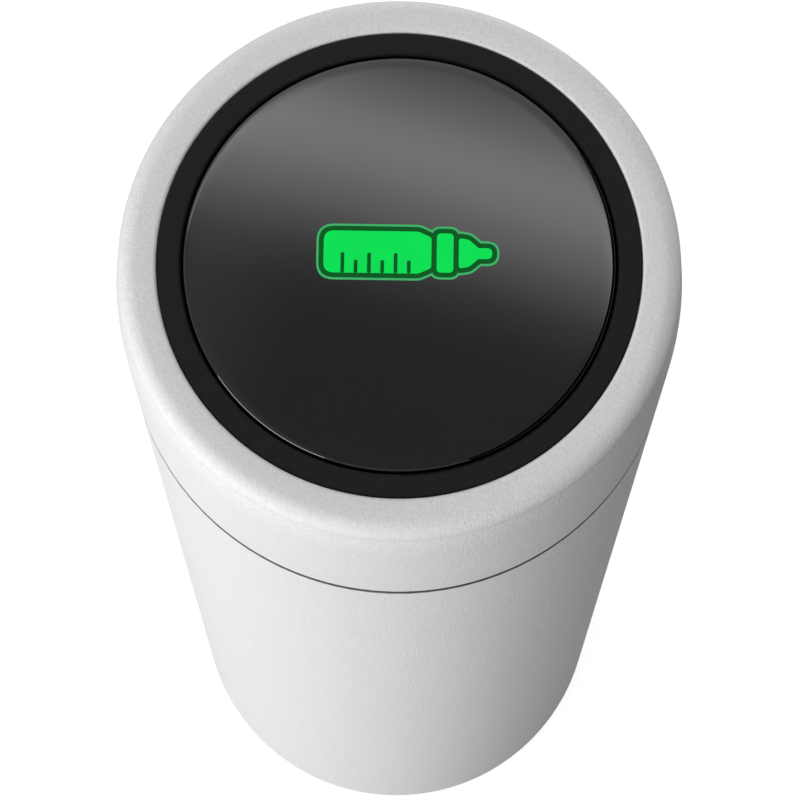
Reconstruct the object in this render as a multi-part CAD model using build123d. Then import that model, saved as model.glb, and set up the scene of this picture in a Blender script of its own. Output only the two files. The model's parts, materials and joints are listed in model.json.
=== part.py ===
from build123d import *
import os
from math import cos, radians, sin, sqrt

# Rapid-cooling formula flask, in millimetres. The flask stands on the XY plane, its axis is +Z,
# the origin is the middle of the foot, and the front is -Y.
# A steel vessel sits in a jacket of phase-change salt, which takes the heat out of boiled water.
# The screw lid holds a temperature probe, a small circuit and a lens that lights up and is pressed.

# Driving dimensions, outside
outer_radius = 38.0
total_height = 237.0        # to the flat rim of the lid, the lens rises a little above it
lid_height = 32.0
seam_gap = 0.7
seam_edge_round = 0.3
shoulder_round = 3.0
base_round = 6.5
shell_lift = 1.0            # the shell's lower edge above the surface the flask stands on
shell_wall = 0.8

# Driving dimensions, vessel and jacket
vessel_bore_radius = 27.5
vessel_wall = 0.7
vessel_floor_height = 34.0
vessel_floor_round = 11.0
rim_height = 216.8          # top of the vessel's rolled rim, which the lid seals on
rim_radius = 32.2
fin_count = 24
fin_thickness = 0.9
fin_tip_radius = 35.6
fin_sleeve_wall = 1.0
fin_low, fin_high = 46.0, 190.0
salt_low, salt_high = 9.6, 192.0

# Driving dimensions, neck and thread
collar_radius = 33.4
collar_flange_radius = 36.8
collar_flange_low, collar_flange_high = 197.8, 203.4
skirt_inner_radius = 35.0
liner_radius = 36.3

# Driving dimensions, lid
lid_radius = 37.6           # a little less than the body, which steps out below the seam
lid_wall = 1.1
bezel_outer_radius = 32.1
bezel_inner_radius = 28.85
bezel_sink = 0.15           # the black ring lies this far below the white rim
lens_radius = 28.65
lens_crown = 0.55
lens_edge_round = 0.7
lens_edge_rise = 0.1        # where the crown would meet the side, above the white rim
plug_radius = 26.6
plug_wall = 1.8
plug_floor_height = 203.0
liner_plate_low, liner_plate_high = 218.0, 219.6
chassis_floor_low, chassis_floor_high = 221.2, 222.7
board_low, board_high = 227.0, 228.2
board_radius = 26.4
press_travel = 0.8

# Driving dimensions, probe
probe_radius = 3.0
probe_wall = 0.5
probe_tip_height = 168.0
nut_across_flats = 10.0

# Small gaps between fixed neighbours
fit_gap = 0.1
side_gap = 0.2
seal_squeeze = 0.05         # what is left between a seal and the wall of its groove
root_overlap = 0.2          # how far a rib or boss reaches into the wall that it grows from
through = 1.0               # how far a cutting solid reaches past the face that it opens

seam_height = total_height - lid_height
shell_top = seam_height - seam_gap / 2
lid_low = seam_height + seam_gap / 2
shell_inner_radius = outer_radius - shell_wall
vessel_outer_radius = vessel_bore_radius + vessel_wall
fin_sleeve_radius = vessel_outer_radius + fit_gap + fin_sleeve_wall


def turned(*segments):
    """A solid of revolution about Z from edges drawn in the XZ plane."""
    return revolve(make_face(Wire(list(segments))), Axis.Z)


def turned_polygon(points):
    """A solid of revolution from (radius, height) corners."""
    corners = [Vector(r, 0, z) for r, z in points]
    return revolve(make_face(Polyline(*corners, close=True)), Axis.Z)


def ring(inner, outer, low, high):
    return turned_polygon([(inner, low), (outer, low), (outer, high), (inner, high)])


def disc(radius, low, high):
    return Pos(0, 0, low) * Cylinder(radius, high - low, align=(Align.CENTER, Align.CENTER, Align.MIN))


def block(width, depth, low, high, x=0.0, y=0.0):
    return Pos(x, y, low) * Box(width, depth, high - low, align=(Align.CENTER, Align.CENTER, Align.MIN))


def edges_near(shape, radius, height, tolerance=0.05):
    """The circles of a turned solid that have this radius and lie at this height."""
    return [
        edge for edge in shape.edges().filter_by(GeomType.CIRCLE)
        if abs(edge.radius - radius) < tolerance and abs(edge.arc_center.Z - height) < tolerance
    ]


def around(count, radius, start=0.0):
    """Places spread evenly on a circle."""
    step = 360.0 / count
    return [
        (radius * cos(radians(start + i * step)), radius * sin(radians(start + i * step)))
        for i in range(count)
    ]


# Flask body

lip_radius = outer_radius - base_round
base_seat_radius = lip_radius - 0.8
base_plate_low, base_flange_low, base_flange_high = 1.7, 7.7, 9.4


def outer_shell():
    """Deep-drawn coated casing: rounded foot edge turned in, and a flat shoulder round the neck."""
    low = shell_lift
    solid = turned_polygon([
        (base_seat_radius, low), (outer_radius, low), (outer_radius, shell_top),
        (collar_radius + 0.2, shell_top), (collar_radius + 0.2, shell_top - shell_wall),
        (shell_inner_radius, shell_top - shell_wall), (shell_inner_radius, low + shell_wall),
        (base_seat_radius, low + shell_wall),
    ])
    solid = fillet(edges_near(solid, outer_radius, low), base_round)
    solid = fillet(edges_near(solid, shell_inner_radius, low + shell_wall), base_round - shell_wall)
    return fillet(edges_near(solid, outer_radius, shell_top), seam_edge_round)


plug_head_radius, plug_shank_radius, plug_head_height = 8.0, 5.8, 1.8
pad_radius, pad_thickness = 29.0, 3.1
base_seal_minor = 0.6
base_seal_major = shell_inner_radius - base_seal_minor - seal_squeeze
base_seal_height = (base_flange_low + base_flange_high) / 2
base_rib_count, base_rib_length, base_rib_width, base_rib_height = 6, 14.0, 1.6, 2.0
base_rib_middle = 20.0


def base_plate():
    """Closes the jacket from below, with a recess for the foot pad and a filling hole."""
    pad_top = pad_thickness + fit_gap
    head_top = pad_top + plug_head_height + 2 * fit_gap
    head_bore, pad_bore = plug_head_radius + side_gap, pad_radius + side_gap
    solid = turned_polygon([
        (plug_shank_radius + fit_gap, head_top), (head_bore, head_top),
        (head_bore, pad_top), (pad_bore, pad_top),
        (pad_bore, base_plate_low), (base_seat_radius - fit_gap, base_plate_low),
        (base_seat_radius - fit_gap, base_flange_low), (shell_inner_radius - side_gap, base_flange_low),
        (shell_inner_radius - side_gap, base_flange_high), (plug_shank_radius + fit_gap, base_flange_high),
    ])
    rib = block(
        base_rib_length, base_rib_width, base_flange_high - root_overlap,
        base_flange_high + base_rib_height, x=base_rib_middle,
    )
    ribs = [Rot(0, 0, i * 360.0 / base_rib_count) * rib for i in range(base_rib_count)]
    groove_radius = base_seal_major - base_seal_minor - seal_squeeze
    groove_half = base_seal_minor + seal_squeeze
    groove = ring(
        groove_radius, shell_inner_radius, base_seal_height - groove_half, base_seal_height + groove_half
    )
    return solid - groove + ribs


def base_seal():
    """O-ring round the base plate, flattened against the casing."""
    return Pos(0, 0, base_seal_height) * Torus(base_seal_major, base_seal_minor)


def fill_plug():
    """Closes the hole through which the jacket is filled, with a coin slot."""
    slot_length, slot_width, slot_depth = 11.0, 1.6, 1.0
    head_low = pad_thickness + 2 * fit_gap
    head_high = head_low + plug_head_height
    solid = disc(plug_head_radius, head_low, head_high)
    solid += disc(plug_shank_radius, head_high, base_flange_high)
    return solid - block(slot_length, slot_width, head_low - through, head_low + slot_depth)


def foot_pad():
    """Silicone pad the flask stands on, with two moulded rings in its face."""
    edge_round, groove_width, groove_depth = 0.8, 1.6, 0.6
    solid = disc(pad_radius, 0.0, pad_thickness)
    solid = fillet(edges_near(solid, pad_radius, 0.0), edge_round)
    for radius in (12.0, 20.0):
        solid -= ring(radius, radius + groove_width, -through, groove_depth)
    return solid


def vessel_form(radius, floor_height, floor_round, top):
    """A plain round-bottomed beaker shape."""
    solid = disc(radius, floor_height, top)
    return fillet(edges_near(solid, radius, floor_height), floor_round)


def inner_vessel():
    """Drawn steel beaker with a rim turned out over the collar."""
    outside = vessel_form(
        vessel_outer_radius, vessel_floor_height - vessel_wall, vessel_floor_round + vessel_wall, rim_height
    )
    outside += disc(rim_radius, rim_height - vessel_wall, rim_height)
    bore = vessel_form(vessel_bore_radius, vessel_floor_height, vessel_floor_round, rim_height + 1.0)
    solid = outside - bore
    return fillet(edges_near(solid, vessel_bore_radius, rim_height), 0.6)


collar_groove_height = 208.0
collar_seal_minor = 0.75


def neck_collar():
    """Moulded collar that joins the casing to the vessel and carries the neck thread."""
    bore, top = vessel_outer_radius + side_gap, rim_height - vessel_wall - fit_gap
    solid = turned_polygon([
        (bore, collar_flange_low), (collar_flange_radius, collar_flange_low),
        (collar_flange_radius, collar_flange_high), (collar_radius, collar_flange_high),
        (collar_radius, top), (bore, top),
    ])
    seat_depth, seat_half = 1.4, collar_seal_minor + 0.15
    seat = ring(
        bore - through, bore + seat_depth, collar_groove_height - seat_half, collar_groove_height + seat_half
    )
    pocket_count, pocket_radius, pocket_depth, pocket_circle = 12, 2.0, 3.5, 33.2
    pocket = disc(pocket_radius, collar_flange_low - through, collar_flange_low + pocket_depth)
    pockets = [Pos(x, y, 0) * pocket for x, y in around(pocket_count, pocket_circle, 15.0)]
    return solid - seat - pockets


def neck_seal():
    """O-ring between the vessel and the collar, which keeps the jacket dry."""
    major = vessel_outer_radius + seal_squeeze + collar_seal_minor
    return Pos(0, 0, collar_groove_height) * Torus(major, collar_seal_minor)


def heat_fins():
    """Aluminium sleeve on the vessel, with long radial fins that reach into the salt."""
    sleeve = ring(vessel_outer_radius + fit_gap, fin_sleeve_radius, fin_low, fin_high)
    root = fin_sleeve_radius - fin_sleeve_wall / 2
    fin = block(fin_tip_radius - root, fin_thickness, fin_low, fin_high, x=(fin_tip_radius + root) / 2)
    return sleeve + [Rot(0, 0, i * 360.0 / fin_count) * fin for i in range(fin_count)]


def salt_core(fins):
    """Phase-change salt that fills the jacket round the fins and under the vessel."""
    fill = disc(shell_inner_radius - fit_gap, salt_low, salt_high)
    fill -= vessel_form(
        vessel_outer_radius + fit_gap, vessel_floor_height - vessel_wall - fit_gap,
        vessel_floor_round + vessel_wall, salt_high + 1.0,
    )
    fill -= ring(plug_shank_radius, 29.0, salt_low - 1.0, base_flange_high + 2.2)
    return fill - fins


# Lid, outside

lid_inner_radius = lid_radius - lid_wall
bezel_top = total_height - bezel_sink
bezel_seat_height = 235.0
lid_ledge_radius = 31.0
lid_ledge_low = 233.2
bezel_seat_round = 0.5


def lid_shell():
    """White cap with a soft shoulder, and a stepped opening for the black ring."""
    solid = turned_polygon([
        (lid_inner_radius, lid_low), (lid_radius, lid_low), (lid_radius, total_height),
        (bezel_outer_radius, total_height), (bezel_outer_radius, bezel_seat_height),
        (lid_ledge_radius, bezel_seat_height), (lid_ledge_radius, lid_ledge_low),
        (lid_inner_radius, lid_ledge_low),
    ])
    solid = fillet(edges_near(solid, lid_radius, total_height), shoulder_round)
    solid = fillet(edges_near(solid, lid_inner_radius, lid_ledge_low), shoulder_round - lid_wall)
    solid = fillet(edges_near(solid, bezel_outer_radius, total_height), bezel_seat_round)
    return fillet(edges_near(solid, lid_radius, lid_low), seam_edge_round)


bezel_skirt_low = 231.5


def bezel_ring():
    """Black trim ring round the lens, whose skirt stops the lens carrier."""
    outer = bezel_outer_radius - 0.05
    solid = turned_polygon([
        (bezel_inner_radius, bezel_skirt_low), (bezel_inner_radius + 1.2, bezel_skirt_low),
        (bezel_inner_radius + 1.2, bezel_seat_height), (outer, bezel_seat_height),
        (outer, bezel_top), (bezel_inner_radius, bezel_top),
    ])
    solid = fillet(edges_near(solid, bezel_inner_radius, bezel_top), 0.4)
    return fillet(edges_near(solid, outer, bezel_top), 0.25)


# Lens and what is pressed with it

lens_low = 234.6
lens_edge_top = total_height + lens_edge_rise
mask_low = lens_low - 0.4
carrier_plate_low = 232.6
carrier_flange_low, carrier_flange_high = 230.0, 231.2
guide_length, guide_width, guide_corner, guide_low = 27.0, 12.0, 3.0, 231.6
switch_x, switch_y = 0.0, -15.0


def lens():
    """Smoked lens with a shallow crown and a polished round edge."""
    middle_low = Vector(0, 0, lens_low)
    edge_low = Vector(lens_radius, 0, lens_low)
    crown_edge = Vector(lens_radius, 0, lens_edge_top)
    crown_top = Vector(0, 0, lens_edge_top + lens_crown)
    sphere_radius = (lens_radius**2 + lens_crown**2) / (2 * lens_crown)
    half_way = lens_radius / 2
    crown_middle = crown_top + Vector(half_way, 0, sqrt(sphere_radius**2 - half_way**2) - sphere_radius)
    solid = turned(
        Line(middle_low, edge_low), Line(edge_low, crown_edge),
        ThreePointArc(crown_edge, crown_middle, crown_top), Line(crown_top, middle_low),
    )
    return fillet(edges_near(solid, lens_radius, lens_edge_top), lens_edge_round)


window_length, window_width, window_corner = 25.4, 9.8, 2.0


def light_mask():
    """Opaque film under the lens, open where the sign lights up."""
    solid = disc(lens_radius - 0.3, mask_low, lens_low)
    outline = RectangleRounded(window_length, window_width, window_corner)
    outline = Plane.XY.offset(mask_low - through) * outline
    return solid - extrude(outline, 3 * through)


def light_guide():
    """Milky block that spreads the light of the three lamps under the sign."""
    outline = Plane.XY.offset(guide_low) * RectangleRounded(guide_length, guide_width, guide_corner)
    return extrude(outline, mask_low - guide_low)


def lens_carrier():
    """Black tray behind the lens: it holds the light guide and carries the post for the switch."""
    wall_outer, wall_inner = lens_radius - 0.2, 26.4
    solid = turned_polygon([
        (0, carrier_plate_low), (wall_inner, carrier_plate_low), (wall_inner, carrier_flange_low),
        (bezel_inner_radius + 0.8, carrier_flange_low), (bezel_inner_radius + 0.8, carrier_flange_high),
        (wall_outer, carrier_flange_high), (wall_outer, mask_low), (0, mask_low),
    ])
    opening = Plane.XY.offset(carrier_plate_low - through) * RectangleRounded(
        guide_length + fit_gap, guide_width + fit_gap, guide_corner + fit_gap / 2
    )
    post_radius, rib_length, rib_width, rib_depth, rib_middle = 2.2, 9.0, 1.2, 1.2, 21.5
    post = Pos(switch_x, switch_y, 0) * disc(post_radius, plunger_high, carrier_plate_low)
    rib = block(rib_length, rib_width, carrier_plate_low - rib_depth, carrier_plate_low, x=rib_middle)
    ribs = [Rot(0, 0, angle) * rib for angle in (20, 160, 200, 340)]
    return solid - extrude(opening, 4 * through) + post + ribs


plunger_low, plunger_high, plunger_radius = 229.6, 231.0, 1.7


def switch_plunger():
    """Stem of the wake switch, which stays under the carrier's post."""
    return Pos(switch_x, switch_y, 0) * disc(plunger_radius, plunger_low, plunger_high)


return_ring_low, return_ring_high = 228.35, 229.9


def return_ring():
    """Soft silicone ring with scallops, which pushes the lens back up."""
    inner, outer, notch_count, notch_radius, notch_depth = 28.0, 29.2, 12, 1.6, 0.8
    solid = ring(inner, outer, return_ring_low, return_ring_high)
    notch = disc(notch_radius, return_ring_high - notch_depth, return_ring_high + through)
    return solid - [Pos(x, y, 0) * notch for x, y in around(notch_count, (inner + outer) / 2)]


# Electronics under the lens

screw_places = around(3, 22.0, 60.0)
boss_radius = 2.8
cell_x, cell_radius, cell_low, cell_high = 13.0, 10.0, 223.6, 226.8


def lid_chassis():
    """Tray fixed in the lid: board bosses, a step for the return ring and a wire hole."""
    wall_inner, wall_outer = bezel_inner_radius + 1.7, 31.9
    step_inner, step_top = 27.3, 228.2
    solid = turned_polygon([
        (3.0, chassis_floor_low), (lid_inner_radius - fit_gap, chassis_floor_low),
        (lid_inner_radius - fit_gap, chassis_floor_high), (wall_outer, chassis_floor_high),
        (wall_outer, lid_ledge_low), (wall_inner, lid_ledge_low), (wall_inner, step_top),
        (step_inner, step_top), (step_inner, chassis_floor_high), (3.0, chassis_floor_high),
    ])
    screw_hole_radius, gusset_count, gusset_length, gusset_width, gusset_height = 1.05, 6, 3.6, 1.2, 4.5
    boss = disc(boss_radius, chassis_floor_high - root_overlap, board_low)
    hole = disc(screw_hole_radius, chassis_floor_high + root_overlap, board_low + through)
    gusset = block(
        gusset_length, gusset_width, chassis_floor_high - root_overlap,
        chassis_floor_high + gusset_height, x=wall_outer + gusset_length / 2 - root_overlap,
    )
    bosses = [Pos(x, y, 0) * boss for x, y in screw_places]
    holes = [Pos(x, y, 0) * hole for x, y in screw_places]
    gussets = [Rot(0, 0, 30 + i * 360.0 / gusset_count) * gusset for i in range(gusset_count)]
    return solid + bosses + gussets - holes


def control_board():
    """Round circuit board with screw holes and a flat for assembly."""
    solid = disc(board_radius, board_low, board_high)
    solid -= block(20.0, 4.0, board_low - 1.0, board_high + 1.0, x=0.0, y=board_radius + 0.8)
    return solid - [Pos(x, y, 0) * disc(1.35, board_low - 1.0, board_high + 1.0) for x, y in screw_places]


def board_screws():
    """Three small pan-head screws that hold the board on the bosses."""
    screw = disc(0.95, board_low - 3.5, board_high) + disc(2.0, board_high, board_high + 1.1)
    screw -= block(2.4, 0.5, board_high + 0.6, board_high + 2.0)
    screw -= block(0.5, 2.4, board_high + 0.6, board_high + 2.0)
    return [Pos(x, y, 0) * screw for x, y in screw_places]


def status_leds():
    """Three lamps in a row under the light guide."""
    package = block(3.5, 2.8, board_high, board_high + 0.9)
    dome = Pos(0, 0, board_high + 0.8) * (Sphere(1.15) & disc(2.0, 0.0, 2.0))
    return [Pos(x, 0, 0) * (package + dome) for x in (-8.0, 0.0, 8.0)]


def board_parts():
    """Controller chip, crystal and small passive parts, each a separate block on the board."""
    top = board_high
    controller = block(6.0, 6.0, top, top + 1.0, x=-13.0, y=12.0)
    crystal = block(3.2, 1.5, top, top + 0.9, x=-5.0, y=14.0)
    driver = block(4.9, 3.9, top, top + 1.2, x=12.0, y=12.0)
    passive_length, passive_width, passive_top = 1.6, 0.8, top + 0.6
    resistors = [
        block(passive_length, passive_width, top, passive_top, x=-16.0 + 3.0 * i, y=-8.0) for i in range(4)
    ]
    capacitors = [
        block(passive_width, passive_length, top, passive_top, x=10.0 + 2.4 * i, y=-9.0) for i in range(4)
    ]
    return [controller, crystal, driver] + resistors + capacitors


def wake_switch():
    """Body of the tactile switch, with a well for its stem."""
    solid = Pos(switch_x, switch_y, 0) * block(6.0, 6.0, board_high, board_high + 2.0)
    well = Pos(switch_x, switch_y, 0) * disc(plunger_radius + 0.15, plunger_low - press_travel - 0.1, 240.0)
    return solid - well


def coin_cell():
    """Lithium coin cell with its stepped negative face."""
    cell = disc(cell_radius, cell_low + 0.5, cell_high) + disc(cell_radius - 1.4, cell_low, cell_low + 0.5)
    return Pos(cell_x, 0, 0) * fillet(edges_near(cell, cell_radius, cell_high), 0.4)


def battery_clip():
    """Spring strap that holds the cell against the board."""
    strap_low, thickness, width = cell_low - 0.4, 0.3, 6.0
    span = 2 * cell_radius + 1.0
    strap = block(span, width, strap_low, strap_low + thickness)
    legs = [
        block(thickness, width, strap_low, board_low, x=side * (span - thickness) / 2) for side in (-1, 1)
    ]
    return Pos(cell_x, 0, 0) * (strap + legs)


# Inner cap, seals and probe

plug_bore_radius = plug_radius - plug_wall
ring_groove_height, wiper_minor = 208.0, 0.8
probe_flange_radius, probe_flange_low, probe_flange_high = 5.6, 201.3, 202.3
probe_top = 209.5


def lid_liner():
    """Moulded inner cap: threaded skirt outside the neck, and a hollow plug inside it."""
    skirt_low, hole = lid_low + 0.8, probe_radius + 0.1
    solid = turned_polygon([
        (skirt_inner_radius, skirt_low), (liner_radius, skirt_low), (liner_radius, liner_plate_high),
        (plug_bore_radius, liner_plate_high), (plug_bore_radius, plug_floor_height + plug_wall),
        (hole, plug_floor_height + plug_wall), (hole, plug_floor_height), (plug_radius, plug_floor_height),
        (plug_radius, liner_plate_low), (skirt_inner_radius, liner_plate_low),
    ])
    solid = fillet(edges_near(solid, plug_radius, plug_floor_height), 1.2)
    groove_depth = 2 * wiper_minor - 0.7
    return solid - ring(
        plug_radius - groove_depth, plug_radius + 1.0,
        ring_groove_height - wiper_minor - 0.05, ring_groove_height + wiper_minor + 0.05,
    )


def rim_gasket():
    """Flat silicone gasket between the vessel's rim and the inner cap, with a raised bead."""
    low, high = rim_height + 0.05, liner_plate_low - 0.05
    solid = ring(plug_radius + 0.3, rim_radius + 1.6, low + 0.4, high)
    bead = ring(vessel_bore_radius + 1.4, rim_radius - 0.8, low, low + 0.4)
    return solid + bead


def plug_ring():
    """Wiper ring in the groove of the plug, which slides up the vessel's bore."""
    major = vessel_bore_radius - 0.1 - wiper_minor
    return Pos(0, 0, ring_groove_height) * Torus(major, wiper_minor)


def foam_insert():
    """Insulating foam that fills the plug and lies under the circuit tray."""
    nut_well_radius, disc_radius = 6.6, 34.5
    plug_low = plug_floor_height + plug_wall + fit_gap
    disc_low, disc_high = liner_plate_high + fit_gap, chassis_floor_low - fit_gap
    return turned_polygon([
        (nut_well_radius, plug_low), (plug_bore_radius - side_gap, plug_low),
        (plug_bore_radius - side_gap, disc_low), (disc_radius, disc_low),
        (disc_radius, disc_high), (nut_well_radius, disc_high),
    ])


def probe_sleeve():
    """Closed steel tube with a round tip and a flange, which dips into the milk."""
    tube = disc(probe_radius, probe_tip_height, probe_top)
    tube = fillet(edges_near(tube, probe_radius, probe_tip_height), probe_radius - 0.2)
    tube += disc(probe_flange_radius, probe_flange_low, probe_flange_high)
    bore_radius = probe_radius - probe_wall
    bore = disc(bore_radius, probe_tip_height + 0.7, probe_top + 1.0)
    bore = fillet(edges_near(bore, bore_radius, probe_tip_height + 0.7), bore_radius - 0.2)
    return tube - bore


def probe_seal():
    """Flat seal between the probe's flange and the plug's floor."""
    return ring(probe_radius + 0.1, probe_flange_radius - 0.1, probe_flange_high, plug_floor_height)


def probe_nut():
    """Hexagon nut that pulls the probe up against the plug's floor."""
    nut_height = 3.2
    low = plug_floor_height + plug_wall
    high = low + nut_height
    outline = Plane.XY.offset(low) * RegularPolygon(nut_across_flats / 2, 6, major_radius=False)
    hexagon = extrude(outline, high - low)
    corner_trim = 0.15
    rounded = disc(nut_across_flats / sqrt(3) - corner_trim, low, high)
    return (hexagon & rounded) - disc(probe_radius + 0.05, low - through, high + through)


bead_radius, bead_low, bead_high = 1.9, probe_tip_height + 1.6, 177.0
wire_radius, wire_offset = 0.5, 0.85


def thermistor():
    """Glass-beaded sensor in the tip of the probe."""
    bead = disc(bead_radius, bead_low, bead_high)
    bead = fillet(edges_near(bead, bead_radius, bead_low), 1.5)
    return fillet(edges_near(bead, bead_radius, bead_high), 0.8)


def probe_wires():
    """Two insulated wires from the sensor straight up to the board."""
    wire = disc(wire_radius, bead_high, board_low)
    return [Pos(side * wire_offset, 0, 0) * wire for side in (-1, 1)]


def save(name, shape):
    """Writes one sub-part, as one solid or as a group of separate solids."""
    solids = shape if isinstance(shape, list) else [shape]
    solids = [piece for one in solids for piece in one.solids()]
    export_step(Compound(children=solids) if len(solids) > 1 else solids[0], f"parts/{name}.step")


fins = heat_fins()
subparts = {
    "outer_shell": outer_shell(), "base_plate": base_plate(), "base_seal": base_seal(),
    "fill_plug": fill_plug(), "foot_pad": foot_pad(), "inner_vessel": inner_vessel(),
    "neck_collar": neck_collar(), "neck_seal": neck_seal(), "heat_fins": fins,
    "salt_core": salt_core(fins), "lid_shell": lid_shell(), "bezel_ring": bezel_ring(),
    "lens": lens(), "light_mask": light_mask(), "light_guide": light_guide(),
    "lens_carrier": lens_carrier(), "switch_plunger": switch_plunger(), "return_ring": return_ring(),
    "lid_chassis": lid_chassis(), "control_board": control_board(), "board_screws": board_screws(),
    "status_leds": status_leds(), "board_parts": board_parts(), "wake_switch": wake_switch(),
    "coin_cell": coin_cell(), "battery_clip": battery_clip(), "lid_liner": lid_liner(),
    "rim_gasket": rim_gasket(), "plug_ring": plug_ring(), "foam_insert": foam_insert(),
    "probe_sleeve": probe_sleeve(), "probe_seal": probe_seal(), "probe_nut": probe_nut(),
    "thermistor": thermistor(), "probe_wires": probe_wires(),
}

os.makedirs("parts", exist_ok=True)
for name, shape in subparts.items():
    save(name, shape)
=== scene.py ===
import bpy
import bmesh
import json
from math import asin, atan2, cos, hypot, pi, radians, sin
from mathutils import Matrix, Vector


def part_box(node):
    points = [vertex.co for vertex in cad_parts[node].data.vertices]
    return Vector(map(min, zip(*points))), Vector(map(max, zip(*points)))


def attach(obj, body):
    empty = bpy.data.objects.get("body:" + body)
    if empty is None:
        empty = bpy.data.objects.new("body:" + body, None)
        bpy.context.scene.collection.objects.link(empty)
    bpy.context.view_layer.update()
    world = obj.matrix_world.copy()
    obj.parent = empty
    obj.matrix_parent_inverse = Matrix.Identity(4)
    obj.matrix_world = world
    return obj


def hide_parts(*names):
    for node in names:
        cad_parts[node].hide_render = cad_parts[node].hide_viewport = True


# Looks for the rapid-cooling formula flask. Everything is in metres, in the frame of the CAD model:
# the flask stands on the XY plane, its axis is +Z, and the front is -Y.

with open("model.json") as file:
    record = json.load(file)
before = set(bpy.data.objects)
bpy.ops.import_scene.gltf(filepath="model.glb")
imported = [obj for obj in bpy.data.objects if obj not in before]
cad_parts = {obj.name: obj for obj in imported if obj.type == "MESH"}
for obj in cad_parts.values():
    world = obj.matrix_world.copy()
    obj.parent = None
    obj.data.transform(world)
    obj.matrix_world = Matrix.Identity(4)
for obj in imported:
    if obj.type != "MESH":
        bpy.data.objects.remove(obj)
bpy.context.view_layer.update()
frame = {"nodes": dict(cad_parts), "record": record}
nodes = frame["nodes"]
MM = 0.001


# Camera, at the place and angle of the photograph

camera_place = Vector((0.00083, -0.12836, 0.64443))
camera_pitch = radians(74.975)      # below the horizon
camera_yaw = radians(-0.2416)
camera_roll = radians(0.659)
camera_lens_mm = 145.79
camera_sensor_mm = 36.0
camera_near, camera_far = 0.01, 20.0


def add_to_scene(made):
    bpy.context.scene.collection.objects.link(made)
    return made


def make_camera():
    data = bpy.data.cameras.new("camera")
    data.lens = camera_lens_mm
    data.sensor_width = camera_sensor_mm
    data.clip_start = camera_near
    data.clip_end = camera_far
    forward = Vector((
        sin(camera_yaw) * cos(camera_pitch), cos(camera_yaw) * cos(camera_pitch), -sin(camera_pitch)
    ))
    level_right = Vector((cos(camera_yaw), -sin(camera_yaw), 0.0))
    level_up = level_right.cross(forward)
    right = level_right * cos(camera_roll) + level_up * sin(camera_roll)
    up = right.cross(forward)
    camera = add_to_scene(bpy.data.objects.new("camera", data))
    turn = Matrix((right, up, -forward)).transposed()
    camera.matrix_world = Matrix.Translation(camera_place) @ turn.to_4x4()
    bpy.context.scene.camera = camera


# Shader building

class Paint:
    """A node material with a Principled shader, and short calls for the nodes that colour it."""

    def __init__(self, name):
        self.material = bpy.data.materials.new(name)
        self.material.use_nodes = True
        self.tree = self.material.node_tree
        self.shader = self.tree.nodes["Principled BSDF"]
        self.place = self.tree.nodes.new("ShaderNodeTexCoord").outputs["Object"]

    def node(self, kind, **settings):
        made = self.tree.nodes.new(kind)
        for name, value in settings.items():
            setattr(made, name, value)
        return made

    def link(self, source, target):
        self.tree.links.new(source, target)

    def set(self, **values):
        """Plain values straight on the shader's sockets, such as roughness=0.4."""
        for name, value in values.items():
            socket = self.shader.inputs[name.replace("_", " ").title().replace("Ior", "IOR")]
            socket.default_value = (*value, 1.0) if isinstance(value, tuple) else value

    def stretched(self, scale):
        """Object coordinates stretched by a factor along each axis."""
        mapping = self.node("ShaderNodeMapping")
        mapping.inputs["Scale"].default_value = scale
        self.link(self.place, mapping.inputs["Vector"])
        return mapping.outputs["Vector"]

    def noise(self, size, detail=3.0, roughness=0.55, place=None):
        """Cloudy noise whose features are about this size, in metres."""
        noise = self.node("ShaderNodeTexNoise")
        noise.inputs["Scale"].default_value = 1.0 / size
        noise.inputs["Detail"].default_value = detail
        noise.inputs["Roughness"].default_value = roughness
        self.link(place or self.place, noise.inputs["Vector"])
        return noise.outputs["Fac"]

    def cells(self, size, smoothness=0.6):
        """Distance to the nearest of scattered points, about this far apart, in metres."""
        cells = self.node("ShaderNodeTexVoronoi", feature="SMOOTH_F1")
        cells.inputs["Scale"].default_value = 1.0 / size
        cells.inputs["Smoothness"].default_value = smoothness
        self.link(self.place, cells.inputs["Vector"])
        return cells.outputs["Distance"]

    def spread(self, source, low, high, from_low=0.3, from_high=0.7):
        """The source remapped to run from low to high."""
        remap = self.node("ShaderNodeMapRange")
        remap.inputs["From Min"].default_value = from_low
        remap.inputs["From Max"].default_value = from_high
        remap.inputs["To Min"].default_value = low
        remap.inputs["To Max"].default_value = high
        self.link(source, remap.inputs["Value"])
        return remap.outputs["Result"]

    def shades(self, source, dark, light, low=0.3, high=0.7):
        """A colour that runs from dark to light as the source rises."""
        ramp = self.node("ShaderNodeValToRGB")
        ramp.color_ramp.elements[0].position = low
        ramp.color_ramp.elements[1].position = high
        ramp.color_ramp.elements[0].color = (*dark, 1.0)
        ramp.color_ramp.elements[1].color = (*light, 1.0)
        self.link(source, ramp.inputs["Fac"])
        return ramp.outputs["Color"]

    def two_tone(self, source, dark, light, low=0.3, high=0.7):
        """Base colour that runs from dark to light as the source rises."""
        self.link(self.shades(source, dark, light, low, high), self.shader.inputs["Base Color"])

    def rough(self, source, low, high):
        """Roughness that runs from low to high as the source rises."""
        self.link(self.spread(source, low, high), self.shader.inputs["Roughness"])

    def bump(self, source, depth):
        """Relief of this depth, in metres."""
        bump = self.node("ShaderNodeBump")
        bump.inputs["Distance"].default_value = depth
        bump.inputs["Strength"].default_value = 1.0
        self.link(source, bump.inputs["Height"])
        self.link(bump.outputs["Normal"], self.shader.inputs["Normal"])


# Materials

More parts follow.
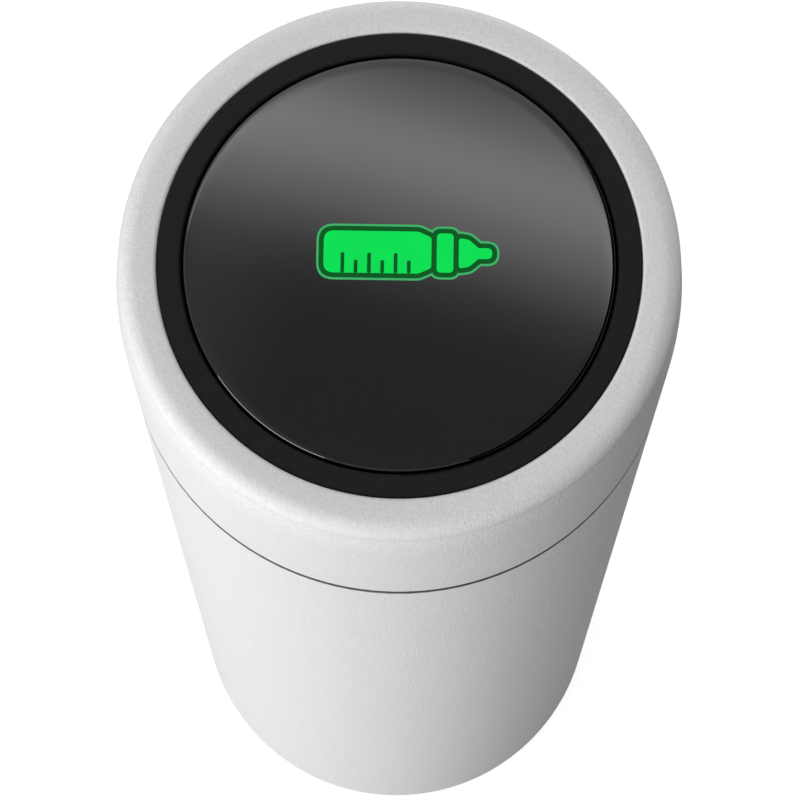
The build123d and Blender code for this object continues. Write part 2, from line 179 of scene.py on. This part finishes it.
seam_height = (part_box("lid_shell")[0].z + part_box("outer_shell")[1].z) / 2
# Painted shade at the seam: the coat's colour turns dark there, standing in for the shadow in the gap
# between lid and flask.
seam_shade_reach = 0.85 * MM        # how far above and below the seam the painted shade reaches
seam_shade_blend = 0.12 * MM
seam_shade_depth = 1.6 * MM         # how far in from the flask's side the painted shade reaches
seam_shade_colour = (0.10, 0.10, 0.10)
flask_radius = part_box("outer_shell")[1].x


def seam_shade_mask(paint):
    """1 on the rolled edges that face each other at the seam, where painted shade darkens the coat, and
    0 elsewhere.
    """
    parts = paint.node("ShaderNodeSeparateXYZ")
    paint.link(paint.place, parts.inputs["Vector"])
    height = paint.node("ShaderNodeMath", operation="SUBTRACT")
    height.inputs[1].default_value = seam_height
    paint.link(parts.outputs["Z"], height.inputs[0])
    distance = paint.node("ShaderNodeMath", operation="ABSOLUTE")
    paint.link(height.outputs["Value"], distance.inputs[0])
    close = paint.spread(
        distance.outputs["Value"], 1.0, 0.0, seam_shade_reach - seam_shade_blend, seam_shade_reach
    )
    radius = paint.node("ShaderNodeVectorMath", operation="LENGTH")
    paint.link(paint.stretched((1.0, 1.0, 0.0)), radius.inputs[0])
    inner_limit = flask_radius - seam_shade_depth
    outside = paint.spread(
        radius.outputs["Value"], 0.0, 1.0, inner_limit - seam_shade_blend, inner_limit + seam_shade_blend
    )
    both = paint.node("ShaderNodeMath", operation="MULTIPLY")
    paint.link(close, both.inputs[0])
    paint.link(outside, both.inputs[1])
    return both.outputs["Value"]


def powder_coat():
    """Satin white powder coat: a fine rounded grain, a faint drift in tone, and a painted shade line
    along the seam.
    """
    paint = Paint("powder_coat")
    grain = paint.noise(0.28 * MM, detail=2.0, roughness=0.6)
    paint.set(roughness=0.50, specular_ior_level=0.28)
    paint.bump(grain, 0.11 * MM)
    drift = paint.noise(0.55 * MM, detail=4.0, roughness=0.7)
    tone = paint.shades(drift, (0.735, 0.735, 0.74), (0.83, 0.83, 0.83))
    # Painted shade: the seam's dark band mixed over the coat's colour.
    edge = paint.node("ShaderNodeMix", data_type="RGBA")
    edge.inputs["B"].default_value = (*seam_shade_colour, 1.0)
    paint.link(tone, edge.inputs["A"])
    paint.link(seam_shade_mask(paint), edge.inputs["Factor"])
    paint.link(edge.outputs["Result"], paint.shader.inputs["Base Color"])
    return paint.material


def matte_black():
    """Fine-textured black moulding."""
    paint = Paint("matte_black")
    paint.two_tone(paint.noise(0.5 * MM, detail=4.0), (0.008, 0.008, 0.009), (0.012, 0.012, 0.013))
    paint.rough(paint.noise(0.3 * MM), 0.50, 0.62)
    paint.set(specular_ior_level=0.09)
    paint.bump(paint.noise(0.12 * MM, detail=2.0), 0.006 * MM)
    return paint.material


def smoked_lens():
    """Polished smoked lens, so dark that it looks black wherever nothing is lit."""
    paint = Paint("smoked_lens")
    paint.two_tone(paint.noise(6.0 * MM), (0.0015, 0.0015, 0.0016), (0.0022, 0.0022, 0.0023))
    paint.rough(paint.noise(9.0 * MM), 0.035, 0.055)
    paint.set(ior=1.49)
    return paint.material


def glow(name, colour):
    """Lit layer of the sign, a little uneven as light from three lamps is."""
    paint = Paint(name)
    paint.set(base_color=(0.0, 0.0, 0.0), roughness=1.0, specular_ior_level=0.0, emission_strength=1.0)
    dimmer = tuple(0.88 * level for level in colour)
    brighter = tuple(1.06 * level for level in colour)
    uneven = paint.shades(paint.noise(3.0 * MM), dimmer, brighter, low=0.0, high=1.0)
    paint.link(uneven, paint.shader.inputs["Emission Color"])
    return paint.material


def moulded(name, colour, roughness=0.5, grain=0.35 * MM, depth=0.008 * MM):
    """Moulded plastic: a fine spark-eroded texture and a faint drift in tone."""
    paint = Paint(name)
    darker = tuple(0.93 * c for c in colour)
    paint.two_tone(paint.noise(7.0 * MM, detail=4.0), darker, colour)
    paint.rough(paint.noise(2.0 * MM), roughness - 0.04, roughness + 0.04)
    paint.bump(paint.noise(grain, detail=2.0), depth)
    return paint.material


def silicone(name, colour):
    """Soft food-safe silicone, slightly cloudy and a little dusty."""
    paint = Paint(name)
    darker = tuple(0.94 * c for c in colour)
    paint.two_tone(paint.noise(3.0 * MM, detail=5.0), darker, colour)
    paint.rough(paint.noise(1.2 * MM), 0.52, 0.66)
    paint.set(subsurface_weight=0.15, subsurface_scale=0.002, sheen_weight=0.08)
    paint.bump(paint.noise(0.25 * MM, detail=2.0), 0.006 * MM)
    return paint.material


def drawn_steel():
    """Vessel steel, polished round its axis so that fine lines run along the turn."""
    paint = Paint("drawn_steel")
    rings = paint.noise(1.0 * MM, detail=6.0, roughness=0.7, place=paint.stretched((0.03, 0.03, 4.0)))
    paint.two_tone(rings, (0.60, 0.60, 0.61), (0.72, 0.72, 0.73))
    paint.rough(rings, 0.28, 0.36)
    paint.set(metallic=1.0)
    paint.bump(rings, 0.0015 * MM)
    return paint.material


def bright_steel():
    """Polished or plated steel with faint handling marks."""
    paint = Paint("bright_steel")
    paint.two_tone(paint.noise(3.0 * MM, detail=6.0), (0.66, 0.66, 0.67), (0.74, 0.74, 0.75))
    paint.rough(paint.noise(2.0 * MM), 0.20, 0.26)
    paint.set(metallic=1.0)
    paint.bump(paint.noise(1.5 * MM, detail=2.0), 0.002 * MM)
    return paint.material


def extruded_aluminium():
    """Plain extruded aluminium, with die lines along its length."""
    paint = Paint("extruded_aluminium")
    lines = paint.noise(0.5 * MM, detail=4.0, place=paint.stretched((3.0, 3.0, 0.04)))
    paint.two_tone(lines, (0.62, 0.63, 0.64), (0.76, 0.77, 0.78))
    paint.rough(lines, 0.30, 0.45)
    paint.set(metallic=1.0)
    paint.bump(lines, 0.010 * MM)
    return paint.material


def set_salt():
    """Solidified white salt with a crystalline surface."""
    paint = Paint("set_salt")
    paint.two_tone(paint.noise(4.0 * MM, detail=6.0), (0.70, 0.71, 0.69), (0.88, 0.89, 0.87))
    paint.set(roughness=0.7, subsurface_weight=0.2, subsurface_scale=0.003)
    paint.bump(paint.cells(1.5 * MM), 0.15 * MM)
    return paint.material


def circuit_board():
    """Green solder mask, with tracks that show faintly through it."""
    paint = Paint("circuit_board")
    tracks = paint.node("ShaderNodeTexBrick")
    settings = {
        "Scale": 90.0, "Mortar Size": 0.02, "Mortar": (0.035, 0.190, 0.080, 1.0),
        "Color1": (0.012, 0.105, 0.045, 1.0), "Color2": (0.016, 0.125, 0.052, 1.0),
    }
    for name, value in settings.items():
        tracks.inputs[name].default_value = value
    paint.link(paint.place, tracks.inputs["Vector"])
    paint.link(tracks.outputs["Color"], paint.shader.inputs["Base Color"])
    paint.set(roughness=0.32)
    paint.bump(tracks.outputs["Fac"], 0.02 * MM)
    return paint.material


def foam():
    """Closed-cell foam, with open cells on its cut faces."""
    paint = Paint("foam")
    cells = paint.cells(0.8 * MM)
    paint.two_tone(cells, (0.62, 0.62, 0.60), (0.86, 0.86, 0.84), low=0.05, high=0.5)
    paint.set(roughness=0.9, sheen_weight=0.2)
    paint.bump(cells, 0.25 * MM)
    return paint.material


def dress_nodes():
    """Gives every CAD node its material."""
    dark_plastic = moulded("dark_plastic", (0.055, 0.055, 0.06))
    chip_resin = moulded("chip_resin", (0.035, 0.035, 0.038), roughness=0.6)
    grey_plastic = moulded("grey_plastic", (0.42, 0.43, 0.45), roughness=0.42)
    seal = silicone("seal_silicone", (0.52, 0.55, 0.58))
    clear = silicone("clear_silicone", (0.74, 0.74, 0.72))
    steel = bright_steel()
    coat = powder_coat()
    black = matte_black()
    finishes = {
        coat: ["outer_shell", "lid_shell"],
        black: ["bezel_ring", "light_mask", "lens_carrier"],
        grey_plastic: ["base_plate", "fill_plug", "neck_collar"],
        clear: ["base_seal", "neck_seal", "return_ring"],
        seal: ["rim_gasket", "plug_ring", "probe_seal"],
        silicone("foot_silicone", (0.10, 0.105, 0.11)): ["foot_pad"],
        drawn_steel(): ["inner_vessel"],
        steel: ["probe_sleeve", "probe_nut", "board_screws", "coin_cell", "battery_clip"],
        extruded_aluminium(): ["heat_fins"],
        set_salt(): ["salt_core"],
        moulded("guide_acrylic", (0.72, 0.80, 0.74), roughness=0.3): ["light_guide"],
        moulded("liner_plastic", (0.68, 0.69, 0.70), roughness=0.36): ["lid_liner"],
        dark_plastic: ["lid_chassis", "switch_plunger"],
        circuit_board(): ["control_board"],
        moulded("lamp_resin", (0.80, 0.81, 0.74), roughness=0.2): ["status_leds", "thermistor"],
        chip_resin: ["board_parts", "wake_switch"],
        foam(): ["foam_insert"],
        silicone("wire_cover", (0.50, 0.03, 0.03)): ["probe_wires"],
    }
    for material, names in finishes.items():
        for name in names:
            nodes[name].data.materials.clear()
            nodes[name].data.materials.append(material)


# Mesh helpers

sharp_angle = radians(32.0)
turn_segments = 256
weld_distance = 1e-7


def add_object(name, mesh, material, body):
    """A visible piece of the object, on the body that it rides on."""
    made = add_to_scene(bpy.data.objects.new(name, mesh))
    mesh.materials.append(material)
    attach(made, body)
    return made


def finish_mesh(shape, name):
    """Turns a bmesh into a mesh with smooth faces and sharp edges."""
    bmesh.ops.recalc_face_normals(shape, faces=shape.faces)
    mesh = bpy.data.meshes.new(name)
    shape.to_mesh(mesh)
    shape.free()
    for polygon in mesh.polygons:
        polygon.use_smooth = True
    mesh.set_sharp_from_angle(angle=sharp_angle)
    return mesh


def turned(name, profile, closed=False):
    """A mesh turned about the flask's axis from (radius, height) points."""
    shape = bmesh.new()
    verts = [shape.verts.new((radius, 0.0, height)) for radius, height in profile]
    after = verts[1:] + verts[:1] if closed else verts[1:]
    edges = [shape.edges.new(pair) for pair in zip(verts, after)]
    bmesh.ops.spin(
        shape, geom=verts + edges, cent=(0, 0, 0), axis=(0, 0, 1), angle=2 * pi,
        steps=turn_segments, use_merge=True,
    )
    bmesh.ops.remove_doubles(shape, verts=shape.verts, dist=weld_distance)
    return finish_mesh(shape, name)


# Screw threads: two ridges on the collar, and two in the lid's skirt that run between them

screw = next(c for c in frame["record"]["behaviour"]["couplings"] if c["follows"] == "lid_turn")
thread_lead = screw["ratio"] * 2 * pi
thread_starts = 2
thread_pitch = thread_lead / thread_starts
ridge_height = 0.95 * MM
ridge_root, ridge_crest = 1.9 * MM, 0.8 * MM
ridge_sink = 0.08 * MM
ridge_sweep = radians(255.0)
ridge_run_out = radians(22.0)
run_out_power = 0.6                # below 1, so that a ridge's end rises steeply and then rounds over
ridge_steps = 96
thread_above_collar_foot = 9.6 * MM
neck_thread_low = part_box("neck_collar")[0].z + thread_above_collar_foot
collar_radius = 33.4 * MM
skirt_radius = 35.0 * MM


def ridge_rise(swept):
    """How high the ridge stands, from 0 at each end to 1 between the run-outs."""
    from_end = min(swept, ridge_sweep - swept)
    return min(1.0, from_end / ridge_run_out) ** run_out_power


def thread(name, wall_radius, outward, low, material, body):
    """Two helical ridges on a round wall, standing outward (1) or inward (-1) from it."""
    shape = bmesh.new()
    for start in range(thread_starts):
        rows = []
        for step in range(ridge_steps + 1):
            swept = ridge_sweep * step / ridge_steps
            angle = swept + start * 2 * pi / thread_starts
            middle = low + thread_lead * swept / (2 * pi)
            rise = ridge_rise(swept)
            foot = wall_radius - outward * ridge_sink
            crest = wall_radius + outward * ridge_height * rise
            profile = [
                (foot, -ridge_root / 2), (crest, -ridge_crest / 2), (crest, ridge_crest / 2),
                (foot, ridge_root / 2),
            ]
            rows.append([
                shape.verts.new((radius * cos(angle), radius * sin(angle), middle + offset))
                for radius, offset in profile
            ])
        for one, other in zip(rows, rows[1:]):
            for side in range(len(one)):
                after = (side + 1) % len(one)
                shape.faces.new((one[side], one[after], other[after], other[side]))
        shape.faces.new(rows[0])
        shape.faces.new(rows[-1])
    return add_object(name, finish_mesh(shape, name), material, body)


def make_threads():
    collar_plastic = bpy.data.materials["grey_plastic"]
    liner_plastic = bpy.data.materials["liner_plastic"]
    thread("neck_thread", collar_radius, 1, neck_thread_low, collar_plastic, "flask")
    thread("liner_thread", skirt_radius, -1, neck_thread_low + thread_pitch / 2, liner_plastic, "lid")


# Lens: the CAD form turned finely, so that its round edge draws one clean highlight

lens_low, lens_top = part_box("lens")[0].z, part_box("lens")[1].z
lens_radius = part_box("lens")[1].x
lens_crown = 0.55 * MM
lens_edge_round = 0.7 * MM
print_thickness = 0.006 * MM
print_count = 4
glass_top = lens_top - (print_count + 1) * print_thickness
crown_sphere = (lens_radius ** 2 + lens_crown ** 2) / (2 * lens_crown)
crown_rings = 24
edge_steps = 14


def crown_height(radius):
    """Height of the lens's crown at a distance from its middle."""
    return glass_top - crown_sphere + (crown_sphere ** 2 - radius ** 2) ** 0.5


def lens_profile():
    """(radius, height) points from the middle of the crown to the middle of the underside."""
    round_start = lens_radius - lens_edge_round
    points = [(round_start * step / crown_rings, crown_height(round_start * step / crown_rings))
              for step in range(crown_rings)]
    slope = asin(round_start / crown_sphere)
    top = crown_height(round_start)
    for step in range(edge_steps + 1):
        angle = slope + (pi / 2 - slope) * step / edge_steps
        radius = round_start + lens_edge_round * (sin(angle) - sin(slope)) / (1 - sin(slope))
        points.append((radius, top - lens_edge_round * (cos(slope) - cos(angle))))
    return points + [(lens_radius, lens_low), (0.0, lens_low)]


def make_lens():
    glass = add_object("lens_glass", turned("lens_glass", lens_profile()), smoked_lens(), "push_lens")
    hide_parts("lens")


# Lid cover: the CAD shell with its finer outline, a shoulder that ends in a crease, and below the
# crease a skirt that widens a little down to the seam

cover_low, cover_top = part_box("lid_shell")[0].z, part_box("lid_shell")[1].z
cover_bore = 36.5 * MM
cover_bore_round = 1.9 * MM
cover_ledge_radius, cover_ledge_low, cover_seat = 31.0 * MM, 233.2 * MM, 235.0 * MM
cover_mouth_radius, cover_mouth_round = 32.1 * MM, 0.5 * MM
shoulder_radius = 37.34 * MM
shoulder_across, shoulder_drop = 2.5 * MM, 3.4 * MM
shoulder_end = radians(126.0)      # past upright, so that the shoulder rolls in under itself
skirt_top_radius = 36.95 * MM      # where the widening starts from, close to the shoulder's end
skirt_flare_low = 217.0 * MM
skirt_flare_power = 8
skirt_low_round = 0.3 * MM


def bend(middle, across, up, start, end, steps=8):
    """Points of an elliptic arc in the (radius, height) plane, its angles measured from straight up."""
    turns = [start + (end - start) * step / steps for step in range(steps + 1)]
    return [(middle[0] + across * sin(turn), middle[1] + up * cos(turn)) for turn in turns]


def skirt_flare(top, steps=20):
    """Points down the skirt, which leaves the crease and reaches the flask's radius lower down."""
    points = []
    for step in range(1, steps + 1):
        left = 1 - step / steps
        radius = flask_radius - (flask_radius - skirt_top_radius) * left ** skirt_flare_power
        points.append((radius, skirt_flare_low + (top - skirt_flare_low) * left))
    return points


def cover_profile():
    """(radius, height) points round the cover's wall, from its lower inner edge over the top."""
    shoulder_up = shoulder_drop / (1 - cos(shoulder_end))
    sideways = pi / 2
    bore_bend = (cover_bore - cover_bore_round, cover_ledge_low - cover_bore_round)
    mouth_bend = (cover_mouth_radius + cover_mouth_round, cover_top - cover_mouth_round)
    shoulder_bend = (shoulder_radius - shoulder_across, cover_top - shoulder_up)
    foot_bend = (flask_radius - skirt_low_round, cover_low + skirt_low_round)
    return (
        [(cover_bore, cover_low)]
        + bend(bore_bend, cover_bore_round, cover_bore_round, sideways, 0.0)
        + [(cover_ledge_radius, cover_ledge_low), (cover_ledge_radius, cover_seat)]
        + [(cover_mouth_radius, cover_seat)]
        + bend(mouth_bend, cover_mouth_round, cover_mouth_round, -sideways, 0.0, steps=5)
        + bend(shoulder_bend, shoulder_across, shoulder_up, 0.0, shoulder_end, steps=20)
        + skirt_flare(cover_top - shoulder_drop)
        + bend(foot_bend, skirt_low_round, skirt_low_round, sideways, pi, steps=5)
    )


def make_cover():
    coat = bpy.data.materials["powder_coat"]
    cover = add_object("lid_cover", turned("lid_cover", cover_profile(), closed=True), coat, "lid")
    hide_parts("lid_shell")


# Lit sign: a feeding bottle lying on its side, in thin layers of green on the lens.
# Each corner of an outline is (x, y, corner radius) in millimetres from the sign's middle.

sign_middle = Vector((1.1 * MM, 0.95 * MM))
sign_reach = 12.0 * MM
bottle_body = [
    (-11.1, -2.9, 1.4), (1.4, -2.9, 1.6), (3.1, -2.1, 0.5),
    (3.1, 2.1, 0.5), (1.4, 2.9, 1.6), (-11.1, 2.9, 1.4),
]
bottle_collar = [(3.8, -2.7, 0.6), (6.0, -2.7, 0.6), (6.0, 2.7, 0.6), (3.8, 2.7, 0.6)]
bottle_teat = [
    (6.7, -2.1, 0.4), (8.0, -1.9, 1.2), (9.3, -0.75, 0.5),
    (9.3, 0.75, 0.5), (8.0, 1.9, 1.2), (6.7, 2.1, 0.4),
]
bottle_tip = [(8.4, -0.75, 0.3), (11.1, -0.75, 0.72), (11.1, 0.75, 0.72), (8.4, 0.75, 0.3)]
bottle_parts = [bottle_body, bottle_collar, bottle_teat, bottle_tip]
sign_edge_width, sign_gap_width = 0.95, 0.66
least_corner = 0.05
corner_share = 0.49                # of the shorter side, so that two corners never meet
tick_count = 6
tick_start, tick_step, tick_width, tick_corner = -8.6, 1.75, 0.5, 0.24
long_tick, short_tick = 2.8, 1.8
pale_green, deep_green = (0.060, 0.450, 0.150), (0.006, 0.105, 0.019)
bright_green = (0.006, 0.760, 0.095)


def corner_turn(before, here, after):
    """Signed angle by which an outline turns at a corner, positive to the left."""
    one, two = (here - before).normalized(), (after - here).normalized()
    return atan2(one.x * two.y - one.y * two.x, one.dot(two))


def grown(outline, distance):
    """The outline moved outward by a distance, with its corner radii grown to match."""
    moved = []
    for index, (x, y, radius) in enumerate(outline):
        before = Vector(outline[index - 1][:2])
        here = Vector((x, y))
        after = Vector(outline[(index + 1) % len(outline)][:2])
        turn = corner_turn(before, here, after)
        way_in, way_out = (here - before).normalized(), (after - here).normalized()
        outside = (Vector((way_in.y, -way_in.x)) + Vector((way_out.y, -way_out.x))).normalized()
        place = here + outside * distance / cos(turn / 2)
        radius = radius + distance if turn > 0 else max(least_corner, radius - distance)
        moved.append((place.x, place.y, radius))
    return moved


def rounded(outline, steps=7):
    """Points of an outline, with a short curve in place of each corner."""
    points = []
    for index, (x, y, radius) in enumerate(outline):
        before = Vector(outline[index - 1][:2])
        here = Vector((x, y))
        after = Vector(outline[(index + 1) % len(outline)][:2])
        turn = corner_turn(before, here, after)
        room = corner_share * min((here - before).length, (after - here).length)
        reach = min(room, radius * abs(sin(turn / 2) / cos(turn / 2)))
        start = here + (before - here).normalized() * reach
        end = here + (after - here).normalized() * reach
        for step in range(steps + 1):
            t = step / steps
            points.append(start * (1 - t) ** 2 + here * 2 * t * (1 - t) + end * t ** 2)
    return points


def rectangle(length, width, corner, middle):
    """Outline of a rectangle with round corners."""
    x, y = middle
    left, right, low, high = x - length / 2, x + length / 2, y - width / 2, y + width / 2
    return [(left, low, corner), (right, low, corner), (right, high, corner), (left, high, corner)]


def layer(name, outlines, level, material):
    """A printed layer of closed outlines on the lens, the given number of prints above its crown."""
    shape = bmesh.new()
    low = crown_height(hypot(*sign_middle) + sign_reach) - print_thickness
    high = glass_top + level * print_thickness
    for outline in outlines:
        places = [point * MM + sign_middle for point in rounded(outline)]
        bottom = [shape.verts.new((place.x, place.y, low)) for place in places]
        top = [shape.verts.new((place.x, place.y, high)) for place in places]
        shape.faces.new(bottom)
        shape.faces.new(top)
        for index in range(len(places)):
            after = (index + 1) % len(places)
            shape.faces.new((bottom[index], bottom[after], top[after], top[index]))
    return add_object(name, finish_mesh(shape, name), material, "push_lens")


def tick(index):
    """One line of the scale on the bottle, every other one longer."""
    length = short_tick if index % 2 else long_tick
    bottle_side = bottle_body[0][1]
    middle = (tick_start + tick_step * index, bottle_side + length / 2)
    return rectangle(tick_width, length, tick_corner, middle)


def make_sign():
    pale = glow("sign_pale", pale_green)
    deep = glow("sign_deep", deep_green)
    bright = glow("sign_bright", bright_green)
    layer("sign_edge", [grown(part, sign_edge_width) for part in bottle_parts], 1, pale)
    layer("sign_gap", [grown(part, sign_gap_width) for part in bottle_parts], 2, deep)
    layer("sign_bottle", bottle_parts, 3, bright)
    layer("sign_ticks", [tick(index) for index in range(tick_count)], 4, deep)


# Stage: floor, studio lamps, a dark flag beside the flask, and a card above that only reflections see

floor_size = 6.0
floor_lift = 0.80                   # what the camera sees on top of the floor's own light
ambient_level = 0.40
flask_middle = Vector((0.0, 0.0, 0.15))
key_place = (-1.17, -1.07, 0.38)
key_width, key_height, key_power = 1.3, 0.7, 22.2
top_place, top_size, top_power = (0.0, 0.2, 1.8), 1.0, 8.0
back_place = (0.25, 1.35, 0.13)     # behind the flask and lower than its lid, so only the back gets it
back_width, back_height, back_power = 0.9, 0.18, 8.0
card_height = 1.2
card_middle = (0.0, 0.30)
card_size = 4.0
card_strength = 4.3
band_tilt = radians(-16.0)
band_reach = 0.25                   # the soft field lies within this distance of the card's middle
band_levels = [                     # (place along the field, grey level)
    (0.36, 0.10), (0.44, 0.14), (0.50, 0.26), (0.56, 0.50), (0.62, 0.76), (0.68, 0.97),
    (0.71, 0.97), (0.76, 0.78), (0.82, 0.52), (0.88, 0.36),
]
side_start, side_end, side_level = -0.05, -0.16, 0.07   # faint second field, left of the middle
flag_x = 0.45
flag_span = (-0.95, 0.50)           # along Y
flag_heights = (0.30, 1.10)


def stage_sheet(name, corners):
    """A flat four-cornered sheet, added to the scene."""
    mesh = bpy.data.meshes.new(name)
    mesh.from_pydata(corners, [], [(0, 1, 2, 3)])
    sheet = add_to_scene(bpy.data.objects.new(name, mesh))
    return sheet


def level_square(size):
    """Corners of a level square about the origin, facing up."""
    half = size / 2
    return [(-half, -half, 0.0), (half, -half, 0.0), (half, half, 0.0), (-half, half, 0.0)]


def make_floor():
    floor = stage_sheet("floor", level_square(floor_size))
    paint = Paint("floor")
    paint.two_tone(paint.noise(0.2), (0.43, 0.43, 0.43), (0.45, 0.45, 0.45))
    paint.set(roughness=0.9, specular_ior_level=0.0, emission_color=(1.0, 1.0, 1.0))
    rays = paint.node("ShaderNodeLightPath")
    seen = paint.node("ShaderNodeMath", operation="MAXIMUM")
    paint.link(rays.outputs["Is Camera Ray"], seen.inputs[0])
    paint.link(rays.outputs["Is Transmission Ray"], seen.inputs[1])
    lift = paint.node("ShaderNodeMath", operation="MULTIPLY")
    lift.inputs[1].default_value = floor_lift
    paint.link(seen.outputs["Value"], lift.inputs[0])
    paint.link(lift.outputs["Value"], paint.shader.inputs["Emission Strength"])
    floor.data.materials.append(paint.material)


def make_world():
    """White where the camera, gloss or glass sees it, and a soft grey as light."""
    world = bpy.data.worlds.new("studio")
    world.use_nodes = True
    bpy.context.scene.world = world
    tree = world.node_tree
    background = tree.nodes["Background"]
    background.inputs["Color"].default_value = (1.0, 1.0, 1.0, 1.0)
    rays = tree.nodes.new("ShaderNodeLightPath")
    seen = tree.nodes.new("ShaderNodeMath")
    seen.operation = "MAXIMUM"
    tree.links.new(rays.outputs["Is Camera Ray"], seen.inputs[0])
    tree.links.new(rays.outputs["Is Glossy Ray"], seen.inputs[1])
    glass = tree.nodes.new("ShaderNodeMath")
    glass.operation = "MAXIMUM"
    tree.links.new(seen.outputs["Value"], glass.inputs[0])
    tree.links.new(rays.outputs["Is Transmission Ray"], glass.inputs[1])
    level = tree.nodes.new("ShaderNodeMapRange")
    level.inputs["To Min"].default_value = ambient_level
    level.inputs["To Max"].default_value = 1.0
    tree.links.new(glass.outputs["Value"], level.inputs["Value"])
    tree.links.new(level.outputs["Result"], background.inputs["Strength"])


def area_lamp(name, place, width, height, power):
    """A rectangular lamp that points at the flask's middle."""
    data = bpy.data.lights.new(name, "AREA")
    data.shape = "RECTANGLE"
    data.size = width
    data.size_y = height
    data.energy = power
    lamp = add_to_scene(bpy.data.objects.new(name, data))
    lamp.location = place
    lamp.rotation_euler = (flask_middle - Vector(place)).to_track_quat("-Z", "Y").to_euler()
    return lamp


def make_lamps():
    area_lamp("key", key_place, key_width, key_height, key_power)
    top = area_lamp("top", top_place, top_size, top_size, top_power)
    top.visible_glossy = False
    back = area_lamp("back", back_place, back_width, back_height, back_power)
    back.visible_glossy = False


def make_flag():
    """Dark flag on the right, which takes the sky's light off that side and leaves the floor's."""
    (low_y, high_y), (low_z, high_z) = flag_span, flag_heights
    corners = [(0, low_y, low_z), (0, high_y, low_z), (0, high_y, high_z), (0, low_y, high_z)]
    flag = stage_sheet("flag", corners)
    flag.location = (flag_x, 0.0, 0.0)
    flag.visible_camera = False
    flag.visible_shadow = False
    flag.visible_transmission = False
    paint = Paint("flag")
    paint.two_tone(paint.noise(0.1), (0.010, 0.010, 0.010), (0.014, 0.014, 0.014))
    paint.set(roughness=1.0, specular_ior_level=0.0)
    flag.data.materials.append(paint.material)


def card_field(tree, along):
    """Grey level of the card's bright field, by the distance along it."""
    across = tree.nodes.new("ShaderNodeMapRange")
    across.inputs["From Min"].default_value = -band_reach
    across.inputs["From Max"].default_value = band_reach
    field = tree.nodes.new("ShaderNodeValToRGB")
    field.color_ramp.interpolation = "CARDINAL"
    while len(field.color_ramp.elements) < len(band_levels):
        field.color_ramp.elements.new(0.5)
    for element, (position, level) in zip(field.color_ramp.elements, band_levels):
        element.position = position
        element.color = (level, level, level, 1.0)
    tree.links.new(along, across.inputs["Value"])
    tree.links.new(across.outputs["Result"], field.inputs["Fac"])
    return field.outputs["Color"]


def card_side(tree, along):
    """Grey level of the card's faint side field, by the distance along it."""
    side = tree.nodes.new("ShaderNodeMapRange")
    side.interpolation_type = "SMOOTHSTEP"
    side.inputs["From Min"].default_value = side_start
    side.inputs["From Max"].default_value = side_end
    side.inputs["To Max"].default_value = side_level
    tree.links.new(along, side.inputs["Value"])
    return side.outputs["Result"]


def card_light():
    """Light of the card: a soft bright field across it and a faint one at its side."""
    material = bpy.data.materials.new("reflection_card")
    material.use_nodes = True
    tree = material.node_tree
    tree.nodes.clear()
    place = tree.nodes.new("ShaderNodeTexCoord")
    parts = tree.nodes.new("ShaderNodeSeparateXYZ")
    level_sum = tree.nodes.new("ShaderNodeMath")
    strength = tree.nodes.new("ShaderNodeMath")
    strength.operation = "MULTIPLY"
    strength.inputs[1].default_value = card_strength
    emission = tree.nodes.new("ShaderNodeEmission")
    output = tree.nodes.new("ShaderNodeOutputMaterial")
    tree.links.new(place.outputs["Object"], parts.inputs["Vector"])
    tree.links.new(card_field(tree, parts.outputs["Y"]), level_sum.inputs[0])
    tree.links.new(card_side(tree, parts.outputs["X"]), level_sum.inputs[1])
    tree.links.new(level_sum.outputs["Value"], strength.inputs[0])
    tree.links.new(strength.outputs["Value"], emission.inputs["Strength"])
    tree.links.new(emission.outputs["Emission"], output.inputs["Surface"])
    return material


def make_card():
    """Overhead card that the lens mirrors, seen by reflections alone."""
    card = stage_sheet("reflection_card", level_square(card_size)[::-1])
    card.location = (*card_middle, card_height)
    card.rotation_euler = (0.0, 0.0, band_tilt)
    card.visible_camera = False
    card.visible_diffuse = False
    card.visible_shadow = False
    card.visible_transmission = False
    card.data.materials.append(card_light())


make_camera()
dress_nodes()
make_threads()
make_lens()
make_cover()
make_sign()
make_floor()
make_world()
make_lamps()
make_flag()
make_card()

bpy.context.scene.view_settings.view_transform = "Standard"
